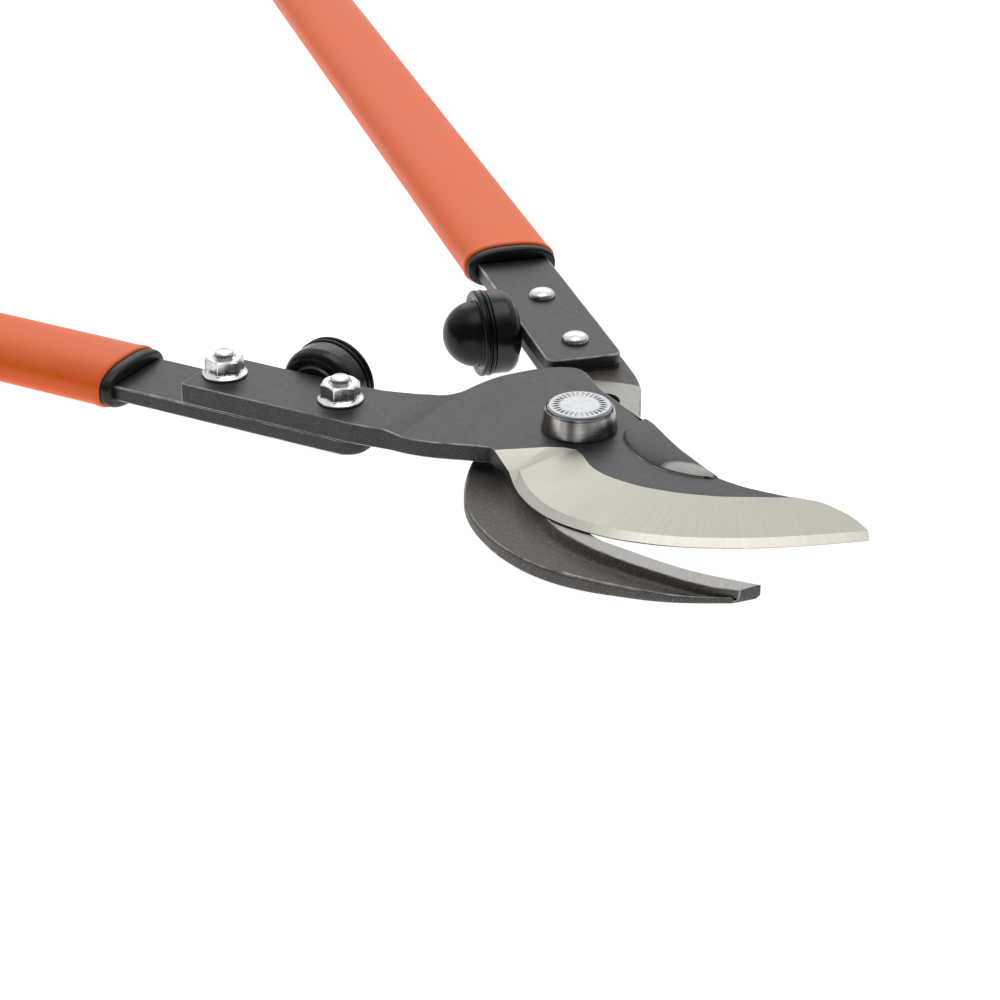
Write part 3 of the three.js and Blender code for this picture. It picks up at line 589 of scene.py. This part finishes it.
# ---------------------------------------------------------------- pivot
def make_collar(material):
    low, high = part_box("pivot_collar")
    base_r, height = (high.x - low.x) / 2, high.z - low.z
    top_r = base_r - 1.4 * MM
    bore = base_r - 1.75 * MM
    bm = bmesh.new()
    profile = [(bore, 0.5 * MM, 0), (base_r - 0.5 * MM, 0, 0), (base_r - 0.1 * MM, 0, 0),
               (base_r, 0.35 * MM, 0.3 * MM), (top_r + 0.1 * MM, height - 0.35 * MM, 0.4 * MM),
               (top_r - 0.25 * MM, height, 0.3 * MM), (bore, height, 0.2 * MM),
               (bore, height - 2.5 * MM, 0), (bore, 0.5 * MM, 0)]
    turned(bm, filleted(profile), Matrix.Translation((0, 0, low.z)), 128)
    return place(bm, "pivot_collar_skin", "hook_half", [material], ["pivot_collar"], "turned_steel")


TICKS = 30


def make_cap(material):
    """Zinc cap with a plain ring of pressed ticks between its smooth middle and its rim."""
    low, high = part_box("pivot_cap")
    radius = (high.x - low.x) / 2
    height = high.z - low.z
    segments = TICKS * 12
    bm = bmesh.new()
    inner, outer, depth = 0.60 * radius, 0.86 * radius, 0.38 * MM
    rim = [(0.01 * MM, 0, 0), (radius, 0, 0), (radius, height - 0.85 * MM, 0.3 * MM),
           (radius - 0.75 * MM, height, 0.4 * MM), (outer + 0.3 * MM, height, 0)]
    rings = [(p.x, p.y, 0.0) for p in filleted(rim)]
    steps = 8
    for k in range(steps + 1):
        t = k / steps
        share = min(1.0, 5 * min(t, 1 - t))
        rings.append((outer + (inner - outer) * t, height, share))
    rings += [(inner - 0.4 * MM, height, 0.0), (inner * 0.5, height - 0.05 * MM, 0.0),
              (0.01 * MM, height - 0.08 * MM, 0.0)]
    loops = []
    for r, h, share in rings:
        loop = []
        for i in range(segments):
            a = 2 * math.pi * i / segments
            wave = 0.5 + 0.5 * math.cos(a * TICKS)
            tick = min(1.0, max(0.0, (wave - 0.45) * 3.2))
            loop.append(Vector((r * math.cos(a), r * math.sin(a), low.z + h - share * tick * depth)))
        loops.append(loop)
    skin(bm, loops)
    return place(bm, "pivot_cap_skin", "hook_half", [material], ["pivot_cap"], "zinc_plate", smooth=40)


def make_pivot_hardware(zinc, dark, bronze):
    for node, width, material, slot in (
        ("pivot_bolt", 0.4, zinc, "zinc_plate"),
        ("pivot_washer", 0.2, zinc, "zinc_plate"),
        ("pivot_spring_washer", 0.2, dark, "dark_steel"),
    ):
        bm = copy_of(node)
        round_edges(bm, sharp_edges(bm, 35), width * MM, 0)
        place(bm, f"{node}_skin", "hook_half", [material], [node], slot, smooth=30, weighted=True)
    nodes["pivot_bush"].data.materials.clear()
    nodes["pivot_bush"].data.materials.append(bronze)


# ---------------------------------------------------------------- handles
BAR_CORNER = {
    "left": 8 * MM,
    "right": 4 * MM,
}


def make_bar(handle, paint, worn_and_lit):
    low, high = handle.box("handle_bar")
    mouth, _ = handle.box("ferrule")
    end = mouth.x + 5.6 * MM
    corner = BAR_CORNER[handle.side]
    outline = [Vector((end, low.y)), Vector((end, high.y))]
    for y, turn in ((high.y - corner, 90), (low.y + corner, 180)):
        for k in range(9):
            a = math.radians(turn + 90 * k / 8)
            outline.append(Vector((low.x + corner + corner * math.cos(a), y + corner * math.sin(a))))
    bm = bmesh.new()
    skin(bm, [[(p.x, p.y, z) for p in outline] for z in (low.z, high.z)])
    bmesh.ops.recalc_face_normals(bm, faces=bm.faces)
    round_edges(bm, sharp_edges(bm, 35), 0.6 * MM, 1, 3)
    return handle.put(bm, "handle_bar", [paint, worn_and_lit], "black_paint", weighted=True)


def section_loop(u, middle, width, height, inset, power=2.5):
    return [Vector((u, middle.y + a, middle.z + b))
            for a, b in oval(width - 2 * inset, height - 2 * inset, power=power)]


def make_ferrule(handle, plastic):
    """Moulded plug: a flat end face with a softly rounded rim, and a close slot for the bar."""
    low, high = handle.box("ferrule")
    bar_low, bar_high = handle.box("handle_bar")
    sleeve_low, _ = handle.box("grip_sleeve")
    middle, size = (low + high) / 2, high - low
    slot_width = bar_high.y - bar_low.y + 0.7 * MM
    slot_height = bar_high.z - bar_low.z + 0.7 * MM
    lip = (sleeve_low.x - low.x) / MM
    rim = [(lip + 0.4, 1.2), (lip - 0.1, 0.3), (3.0, 0), (2.0, 0.03), (1.2, 0.18), (0.6, 0.5), (0.2, 0.95),
           (0.02, 1.5), (0.0, 2.1), (0.02, 3.0)]
    loops = [section_loop(low.x + u * MM, middle, size.y, size.z, inset * MM) for u, inset in rim]
    for u, spare, power in ((0.05, 0.8, 9), (0.3, 0.2, 12), (0.7, 0.0, 12), (6.5, 0.0, 12)):
        width, height = slot_width + spare * MM, slot_height + spare * MM
        loops.append(section_loop(low.x + u * MM, middle, width, height, 0, power))
    bm = bmesh.new()
    skin(bm, loops)
    return handle.put(bm, "ferrule", [plastic], "black_plastic", smooth=40)


def make_sleeve(handle, vinyl):
    """Dipped grip with a soft rolled lip at the ferrule end."""
    low, high = handle.box("grip_sleeve")
    middle, size = (low + high) / 2, high - low
    lip = [(1.2, 1.8), (0.4, 1.3), (0.0, 0.7), (0.15, 0.2), (0.7, -0.12), (1.6, -0.25), (2.8, -0.2),
           (4.2, 0.0), (6.0, 0.05)]
    loops = [section_loop(low.x + u * MM, middle, size.y, size.z, inset * MM) for u, inset in lip]
    spans = 24
    start = low.x + 6 * MM
    for k in range(1, spans + 1):
        loops.append(section_loop(start + (high.x - start) * k / spans, middle, size.y, size.z, 0.05 * MM))
    loops.append(section_loop(high.x, middle, size.y, size.z, 1.8 * MM))
    bm = bmesh.new()
    skin(bm, loops)
    return handle.put(bm, "grip_sleeve", [vinyl], "orange_vinyl", smooth=50)


def make_end_cap(handle, plastic):
    low, high = handle.box("end_cap")
    _, sleeve_high = handle.box("grip_sleeve")
    middle, size = (low + high) / 2, high - low
    start = sleeve_high.x + 0.2 * MM
    length = high.x - start
    steps = 16
    loops = [section_loop(start, middle, size.y, size.z, 2 * MM)]
    for k in range(steps):
        t = 0.02 + 0.975 * k / (steps - 1)
        drop = size.z * 0.5 * (1 - math.sqrt(1 - t ** 3))
        loops.append(section_loop(start + length * t, middle, size.y, size.z, drop))
    bm = bmesh.new()
    skin(bm, loops)
    return handle.put(bm, "end_cap", [plastic], "black_plastic", smooth=45)


# ---------------------------------------------------------------- bumpers
def inward(middle_u, face_v, middle_z):
    """Local axis of a bumper: heights run from the bar's edge towards the other handle."""
    return Matrix(((1, 0, 0, middle_u), (0, 0, -1, face_v), (0, 1, 0, middle_z), (0, 0, 0, 1)))


def make_bumper(handle, gloss, rubber, zinc):
    cup_low, cup_high = handle.box("bumper_cup")
    dome_low, dome_high = handle.box("bumper_dome")
    bar_low, _ = handle.box("handle_bar")
    middle = (cup_low + cup_high) / 2
    axis = inward(middle.x, bar_low.y, middle.z)
    cup_r = (cup_high.x - cup_low.x) / 2 / MM
    cup_end = (bar_low.y - cup_low.y) / MM
    lip_r = (dome_high.x - dome_low.x) / 2 / MM
    end = (bar_low.y - dome_low.y) / MM
    cup = [(0.01, 0.25, 0), (10.2, 0.25, 0.3), (10.7, 1.5, 0.3), (cup_r - 3.1, 1.75, 0.6),
           (cup_r - 1.1, 2.9, 0.9), (cup_r, 5.0, 0.9), (cup_r, cup_end - 0.2, 0.3),
           (cup_r - 0.5, cup_end, 0.2), (cup_r - 3, cup_end, 0), (cup_r - 3, 4.4, 0), (0.01, 4.4, 0)]
    bm = bmesh.new()
    turned(bm, filleted(millimetres(cup)), axis, 128)
    handle.put(bm, "bumper_cup", [gloss], "bumper_plastic", smooth=40)

    base = cup_end + 0.2
    dome_r = 13.1
    middle_d = end - dome_r
    lips = [(0.01, 4.75, 0), (cup_r - 3.4, 4.75, 0), (cup_r - 3.4, base, 0), (lip_r - 0.5, base, 0.3),
            (lip_r, base + 0.5, 0.4), (lip_r, base + 1.35, 0.3), (lip_r - 0.95, base + 1.75, 0.3),
            (lip_r - 0.95, base + 2.35, 0.3), (lip_r, base + 2.8, 0.4), (lip_r, base + 4.0, 0.5),
            (lip_r - 0.7, base + 4.5, 0.5), (dome_r + 1.6, base + 4.5, 0.5),
            (dome_r + 0.35, base + 4.15, 0.6), (dome_r, base + 4.6, 0.4)]
    profile = filleted(millimetres(lips), 5)
    steps = 20
    for k in range(1, steps + 1):
        a = math.pi / 2 * k / steps
        profile.append(Vector((dome_r * math.cos(a) * MM, (middle_d + dome_r * math.sin(a)) * MM)))
    bm = bmesh.new()
    turned(bm, profile, axis, 128)
    handle.put(bm, "bumper_dome", [rubber], "bumper_rubber", smooth=50)

    node = nodes[f"{handle.side}_bumper_screw"]
    node.data.materials.clear()
    node.data.materials.append(zinc)


# ---------------------------------------------------------------- bolts and nuts
THREAD_PITCH = 1.25 * MM
THREAD_LENGTH = 14 * MM


def make_bolt(handle, number, zinc):
    """Low round head, plain shank and a threaded end with a chamfered tip."""
    node = f"{handle.side}_blade_bolt_{number}"
    low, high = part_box(node)
    spot = centre(node)
    length = high.z - low.z
    head_r, shank_r, head_h = (high.x - low.x) / 2, 4 * MM, 3.3 * MM
    profile = []
    steps = 14
    for k in range(steps + 1):
        a = math.pi / 2 * k / steps
        profile.append(Vector((max(0.01 * MM, head_r * math.sin(a)), head_h * (1 - math.cos(a) ** 0.8))))
    profile.append(Vector((shank_r, head_h + 0.02 * MM)))
    thread_start = length - THREAD_LENGTH
    profile.append(Vector((shank_r, thread_start)))
    turns = int((length - 1 * MM - thread_start) / THREAD_PITCH)
    for k in range(turns):
        base = thread_start + k * THREAD_PITCH
        for share, depth in ((0.10, 0.0), (0.40, 0.62), (0.55, 0.62), (0.90, 0.0)):
            profile.append(Vector((shank_r - depth * MM, base + share * THREAD_PITCH)))
    profile.append(Vector((shank_r - 0.2 * MM, length - 0.9 * MM)))
    profile.append(Vector((shank_r - 0.9 * MM, length - 0.12 * MM)))
    profile.append(Vector((shank_r - 1.2 * MM, length)))
    profile.append(Vector((0.01 * MM, length)))
    head_down = handle.side == "left"
    flip = Matrix.Identity(4) if head_down else Matrix.Rotation(math.pi, 4, "X")
    axis = Matrix.Translation((spot.x, spot.y, low.z if head_down else high.z)) @ flip
    bm = bmesh.new()
    turned(bm, profile, axis, 64)
    return place(bm, f"{node}_skin", handle.body, [zinc], [node], "zinc_plate", smooth=28)


def hex_section(flats, corner_round, side_points=10):
    """(angle, distance) round a hexagon whose corners are slightly rounded."""
    made = []
    for side in range(6):
        middle = side * math.pi / 3
        reach = flats / 2 * math.tan(math.pi / 6) - corner_round * math.tan(math.pi / 6)
        for k in range(side_points + 1):
            offset = reach * (2 * k / side_points - 1)
            made.append((middle + math.atan2(offset, flats / 2), math.hypot(offset, flats / 2)))
        pivot = math.hypot(flats / 2 - corner_round, reach)
        pivot_angle = middle + math.atan2(reach, flats / 2 - corner_round)
        for k in (1, 2, 3):
            a = middle + math.pi / 3 * k / 4
            x = pivot * math.cos(pivot_angle) + corner_round * math.cos(a)
            y = pivot * math.sin(pivot_angle) + corner_round * math.sin(a)
            made.append((math.atan2(y, x), math.hypot(x, y)))
    return made


def make_nut(handle, number, zinc):
    """Flanged hexagon nut: dished flange, chamfered corners and a plain countersunk bore."""
    node = f"{handle.side}_flange_nut_{number}"
    low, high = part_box(node)
    spot = centre(node)
    flange_r = (high.x - low.x) / 2
    height = high.z - low.z
    flats, bore = 13 * MM, 3.95 * MM
    waist = flats / 2 - 0.15 * MM
    around = hex_section(flats, 0.45 * MM)
    rows = []
    for r, h in ((bore, 0.0), (flange_r - 0.3 * MM, 0.0), (flange_r - 0.05 * MM, 0.2 * MM),
                 (flange_r, 0.5 * MM), (flange_r - 0.1 * MM, 0.85 * MM), (flange_r - 0.45 * MM, 1.1 * MM),
                 (flange_r - 1.2 * MM, 1.45 * MM)):
        rows.append([(a, r, h) for a, _ in around])
    rows.append([(a, max(d + 0.15 * MM, 6.9 * MM), 1.85 * MM) for a, d in around])
    rows.append([(a, d, 2.35 * MM) for a, d in around])
    slope = math.tan(math.radians(30))
    rows.append([(a, d, height - 0.12 * MM - max(0.0, d - waist) * slope) for a, d in around])
    rows.append([(a, d - 0.12 * MM, height - 0.04 * MM - max(0.0, d - waist) * slope) for a, d in around])
    rows.append([(a, waist, height) for a, _ in around])
    rows.append([(a, bore + 0.65 * MM, height) for a, _ in around])
    rows.append([(a, bore, height - 0.6 * MM) for a, _ in around])
    rows.append([(a, bore, 0.0) for a, _ in around])
    turn = math.radians(12) + math.atan2(handle.to_world[1][0], handle.to_world[0][0])
    flip = Matrix.Identity(4) if handle.side == "left" else Matrix.Rotation(math.pi, 4, "X")
    base = low.z if handle.side == "left" else high.z
    axis = Matrix.Translation((spot.x, spot.y, base)) @ flip @ Matrix.Rotation(turn, 4, "Z")
    bm = bmesh.new()
    skin(bm, [[axis @ Vector((r * math.cos(a), r * math.sin(a), h)) for a, r, h in row] for row in rows],
         closed_start=False, closed_end=False)
    bmesh.ops.remove_doubles(bm, verts=bm.verts, dist=0.002 * MM)
    return place(bm, f"{node}_skin", handle.body, [zinc], [node], "zinc_plate", smooth=22, weighted=True)


# ---------------------------------------------------------------- assembly
def build_loppers():
    paint, worn_and_lit = make_paint(), make_worn_lit_edge()
    ground = make_ground("ground_steel", GRIND_CENTRE, GRIND_RADIUS, (0.44, 0.422, 0.372), 0.36)
    keen = make_ground("keen_edge", GRIND_CENTRE, GRIND_RADIUS, (0.49, 0.465, 0.415), 0.30)
    ledge_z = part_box("counter_blade")[1].z
    forging = make_forging(ledge_z, 56 * MM, 30 * MM)
    zinc = make_zinc("zinc_plate", (0.56, 0.58, 0.60), (0.78, 0.79, 0.80))
    # A darker copy of zinc_plate for the cap: painted shade, so its top under the overhead light doesn't
    # wash out.
    shaded_zinc = make_zinc("zinc_plate_shaded", (0.30, 0.315, 0.33), (0.47, 0.48, 0.49))
    dark, plastic, vinyl = make_dark_steel(), make_satin_plastic(), make_vinyl()
    gloss, rubber = make_gloss_plastic(), make_rubber()

    make_cutting_blade(paint, worn_and_lit, ground, keen)
    make_counter_blade(forging, make_forging_edge())
    make_collar(make_turned_steel())
    make_cap(shaded_zinc)
    make_pivot_hardware(zinc, dark, make_bronze())
    for side in HALF_OF:
        handle = Handle(side)
        make_bar(handle, paint, worn_and_lit)
        make_ferrule(handle, plastic)
        make_sleeve(handle, vinyl)
        make_end_cap(handle, plastic)
        make_bumper(handle, gloss, rubber, zinc)
        for number in (1, 2):
            make_bolt(handle, number, zinc)
            make_nut(handle, number, zinc)
        tube = nodes[f"{side}_handle_tube"]
        tube.data.materials.clear()
        tube.data.materials.append(dark)


# ---------------------------------------------------------------- studio
CAMERA_TURN = 51.0
CAMERA_DOWN = 27.05
CAMERA_AT = (0.6689, -0.5787, 0.4490)
LENS = 97.2
FLOOR_REACH = 8.0


def make_floor():
    bm = bmesh.new()
    low, _ = cad_bounds
    z = low.z - 0.2 * MM
    corners = [(-1, -1), (1, -1), (1, 1), (-1, 1)]
    bm.faces.new(add_loop(bm, [(x * FLOOR_REACH, y * FLOOR_REACH, z) for x, y in corners]))
    mesh = bpy.data.meshes.new("studio_floor")
    bm.to_mesh(mesh)
    bm.free()
    s = Surface("studio_floor", (0.35, 0.35, 0.35), 0.9)
    s.shader.inputs["Specular IOR Level"].default_value = 0.0
    s.shader.inputs["Emission Color"].default_value = (1, 1, 1, 1)
    s.shader.inputs["Emission Strength"].default_value = 0.97
    mesh.materials.append(s.material)
    floor = bpy.data.objects.new("studio_floor", mesh)
    scene.collection.objects.link(floor)


BRIGHT_TOWARDS = Vector((-0.466, 0.377, 0.800))  # the white of the studio is behind and above the loppers


def make_sky():
    """White studio behind and overhead, darker towards the camera."""
    world = bpy.data.worlds.new("studio")
    world.use_nodes = True
    tree = world.node_tree
    coord = tree.nodes.new("ShaderNodeTexCoord")
    aim = tree.nodes.new("ShaderNodeVectorMath")
    aim.operation = "DOT_PRODUCT"
    aim.inputs[1].default_value = BRIGHT_TOWARDS
    ramp = tree.nodes.new("ShaderNodeValToRGB")
    tree.links.new(coord.outputs["Generated"], aim.inputs[0])
    tree.links.new(aim.outputs["Value"], ramp.inputs["Fac"])
    stops = ((0.0, 0.10), (0.22, 0.14), (0.5, 0.62), (0.76, 1.0))
    ramp.color_ramp.elements[0].position = stops[0][0]
    ramp.color_ramp.elements[1].position = stops[-1][0]
    for position, _ in stops[1:-1]:
        ramp.color_ramp.elements.new(position)
    for element, (_, value) in zip(ramp.color_ramp.elements, stops):
        element.color = (value, value, value, 1)
    tree.links.new(ramp.outputs["Color"], tree.nodes["Background"].inputs["Color"])
    tree.nodes["Background"].inputs["Strength"].default_value = 1.0
    scene.world = world


def add_softbox(name, spot, width, depth, watts):
    data = bpy.data.lights.new(name, "AREA")
    data.shape = "RECTANGLE"
    data.size, data.size_y = width, depth
    data.energy = watts
    lamp = bpy.data.objects.new(name, data)
    lamp.location = spot
    lamp.rotation_euler = (-Vector(spot)).to_track_quat("-Z", "Y").to_euler()
    scene.collection.objects.link(lamp)


def make_camera():
    data = bpy.data.cameras.new("camera")
    data.lens = LENS
    data.sensor_width = 36.0
    camera = bpy.data.objects.new("camera", data)
    camera.location = CAMERA_AT
    camera.rotation_euler = (math.radians(90 - CAMERA_DOWN), 0, math.radians(CAMERA_TURN))
    data.clip_end = 50
    scene.collection.objects.link(camera)
    scene.camera = camera


def build_studio():
    make_floor()
    make_sky()
    add_softbox("overhead", (0.05, 0.0, 1.1), 0.9, 0.7, 2.5)
    add_softbox("behind", (-0.9, 0.75, 0.8), 1.2, 0.7, 2.5)
    make_camera()
    scene.view_settings.view_transform = "Standard"


build_loppers()
build_studio()
